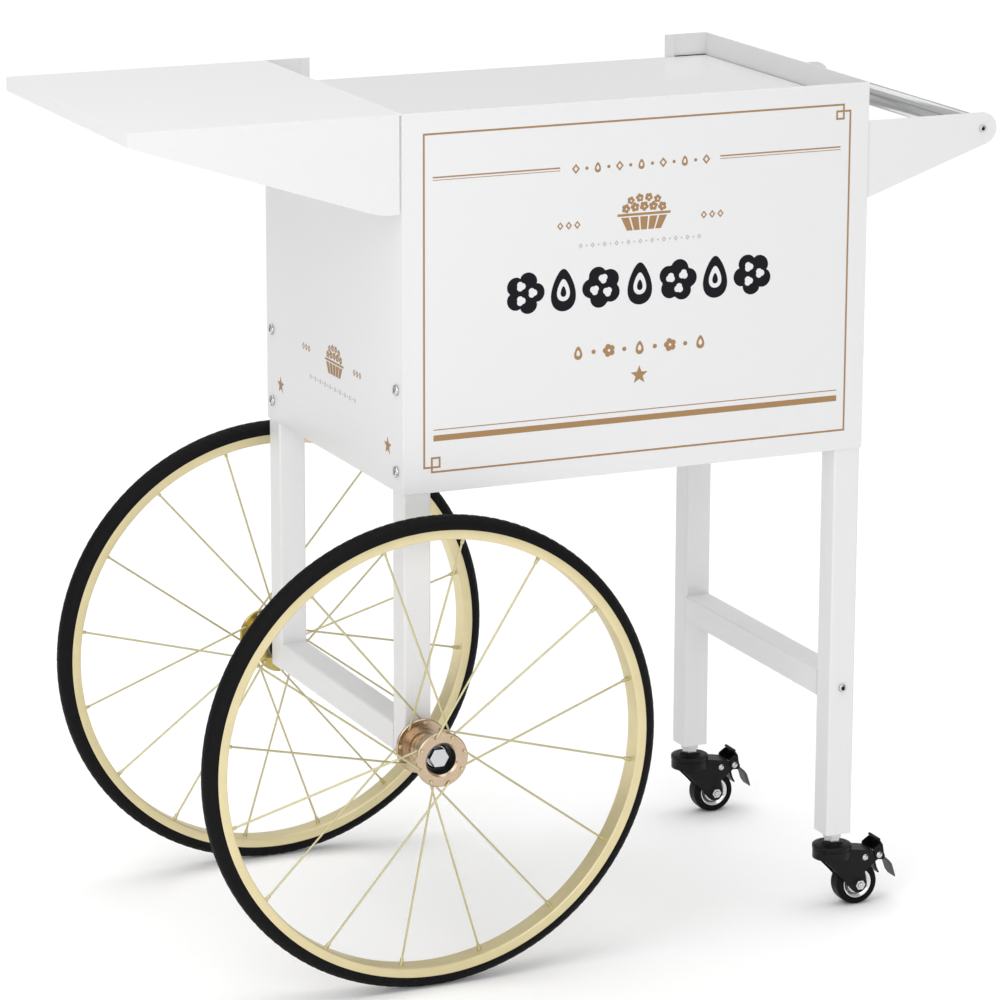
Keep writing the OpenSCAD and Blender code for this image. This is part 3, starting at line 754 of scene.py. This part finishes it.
def disc(x, y, r, n=28):
    return [(x + r * math.cos(2 * PI * i / n), y + r * math.sin(2 * PI * i / n))
            for i in range(n)]


def lozenge(x, y, rx, ry):
    return [(x, y - ry), (x + rx, y), (x, y + ry), (x - rx, y)]


def puff(x, y, r, lobes, depth, turn, n=60):
    """Outline of a popped kernel."""
    out = []
    for i in range(n):
        a = 2 * PI * i / n
        q = r * (1 - depth + depth * abs(math.cos(lobes * (a + turn) / 2)) ** 0.7)
        out.append((x + q * math.cos(a), y + q * math.sin(a)))
    return out


def ring(outline, factor):
    """One shape: the outline with a similar hole inside it."""
    cx = sum(x for x, _ in outline) / len(outline)
    cy = sum(y for _, y in outline) / len(outline)
    return [[outline,
             [(cx + (x - cx) * factor, cy + (y - cy) * factor) for x, y in outline]]]


def kernel(x, y, w, h, n=40):
    """A pointed oval, like an unpopped kernel."""
    out = []
    for i in range(n):
        a = 2 * PI * i / n
        out.append((x + w / 2 * math.sin(a) * (1 - 0.35 * math.cos(a)),
                    y - h / 2 * math.cos(a)))
    return out


EMBLEM_W = 62.8                 # width that the emblem's numbers are drawn for


def emblem(cx, top, w):
    """A bowl heaped with popped kernels, w wide."""
    s = w / EMBLEM_W
    shapes = []
    heap = [(-20.5, 12.6, 4.9), (-10.3, 11.6, 5.0), (0, 11.2, 5.1), (10.3, 11.6, 5.0),
            (20.5, 12.6, 4.9), (-15.0, 4.4, 4.2), (-5.1, 2.2, 4.5), (5.1, 2.2, 4.5),
            (15.0, 4.4, 4.2)]
    for i, (x, y, r) in enumerate(heap):
        shapes.append([puff(cx + x * s, top + (y + 1.8) * s, r * s, 5, 0.3, i * 0.5),
                       disc(cx + (x + 0.4) * s, top + (y + 2.2) * s, 1.0 * s)])
    shapes.append(bar(cx - 30 * s, top + 19.6 * s, cx + 30 * s, top + 22.2 * s))
    for i in range(5):
        a, b = -26 + 10.8 * i, -26 + 10.8 * i + 8.8
        c, d = a * 0.74, b * 0.74
        shapes.append([(cx + a * s, top + 23.6 * s), (cx + b * s, top + 23.6 * s),
                       (cx + d * s, top + 37.2 * s), (cx + c * s, top + 37.2 * s)])
    return shapes


def band(x0, x1, y, h, count, kinds):
    """A row of small ornaments: l lozenge, d dot, k kernel and p popped kernel."""
    shapes = []
    for i in range(count):
        x = x0 + (x1 - x0) * i / (count - 1)
        kind = kinds[i % len(kinds)]
        if kind == "l":
            shapes += ring(lozenge(x, y, h * 0.42, h / 2), 0.5)
        elif kind == "d":
            shapes.append(disc(x, y, h * 0.17))
        elif kind == "k":
            shapes += ring(kernel(x, y, h * 0.62, h), 0.45)
        else:
            shapes.append([puff(x, y, h / 2, 5, 0.28, 0.3 * i), disc(x, y, h * 0.11)])
    return shapes


W = (front_high.x - front_low.x) / MM
H = (front_high.z - front_low.z) / MM
# border: left, right, top and bottom lines, line width, and the two corner knots
L, R, T, B, LW = 23.2, W - 22.2, 21.8, H - 21.5, 2.0
X1, X2, Y1, Y2 = 487.2, 495.1, 28.6, 36.4
X3, X4, Y3, Y4 = 31.6, 40.2, 353.4, 363.0

border = [rule(L - LW / 2, X2 - LW / 2, T, LW), post(X2, T - LW / 2, Y2 + LW / 2, LW),
          rule(X1 - LW / 2, X2 - LW / 2, Y2, LW), post(X1, Y1 - LW / 2, Y2 - LW / 2, LW),
          rule(X1 + LW / 2, X2 - LW / 2, Y1, LW), rule(X2 + LW / 2, R + LW / 2, Y1, LW),
          post(R, Y1 + LW / 2, B + LW / 2, LW), rule(X3 + LW / 2, R - LW / 2, B, LW),
          post(X3, Y3 - LW / 2, B + LW / 2, LW), rule(X3 + LW / 2, X4 + LW / 2, Y3, LW),
          post(X4, Y3 + LW / 2, Y4 + LW / 2, LW), rule(X3 + LW / 2, X4 - LW / 2, Y4, LW),
          rule(L - LW / 2, X3 - LW / 2, Y4, LW), post(L, T + LW / 2, Y4 - LW / 2, LW)]
print_flat("front_border", border, GOLD_INK, "front")

rules = []
for x0, x1 in ((32.8, 172.5), (352.8, 492.1)):
    rules += [rule(x0, x1, 65.8, 1.5), rule(x0, x1, 68.6, 0.7)]
rules += [rule(33.4, 493.4, 324.4, 1.0), bar(33.4, 329.9, 493.4, 336.1)]
rules.append(star(263.3, 287.5, 10.2))
print_flat("front_rules", rules, GOLD_INK, "front")

small = band(190, 337, 67.9, 10.5, 13, "ldkd")
small += band(173, 192, 125.5, 8.5, 3, "l") + band(335, 354, 125.5, 8.5, 3, "l")
small += band(194, 333, 258.7, 14.0, 9, "kdpd")
small += emblem(267.0, 98.5, EMBLEM_W)
print_flat("front_ornaments", small, GOLD_INK, "front")
print_flat("front_dots", band(196, 330, 147.5, 5.4, 21, "ld"), GREY_INK, "front")

# the black band: popped flakes and kernels in turn
FLAKE, KERNEL, GAP, BAND_Y = 44.0, 26.5, 7.75, 191.6
big = []
x = 112.0
for i in range(7):
    w = FLAKE if i % 2 == 0 else KERNEL
    cx, cy = x + w / 2, BAND_Y
    if i % 2 == 0:
        flake = [puff(cx, cy, FLAKE / 2, 5, 0.26, 0.35 * i)]
        for j in range(3):
            a = 0.35 * i + 2 * PI * j / 3
            flake.append(puff(cx + 8.6 * math.cos(a), cy + 8.6 * math.sin(a), 5.2,
                              3, 0.3, a))
        big.append(flake)
    else:
        big += ring(kernel(cx, cy, w, FLAKE), 0.52)
        big.append(kernel(cx, cy + 1.5, 6.0, 11.0))
    x += w + GAP
print_flat("front_band", big, BLACK_INK, "front")

side = emblem(5.0, 271.7, 54.0)
side += band(-82, -66, 289, 8.0, 3, "l") + band(60, 76, 289, 8.0, 3, "l")
side += [star(-149.9, 346.1, 9.8), star(149.9, 346.1, 9.8)]
print_flat("side_ornaments", side, GOLD_INK, "left")
print_flat("side_dots", band(-62, 62, 318, 6.0, 19, "ld"), GREY_INK, "left")
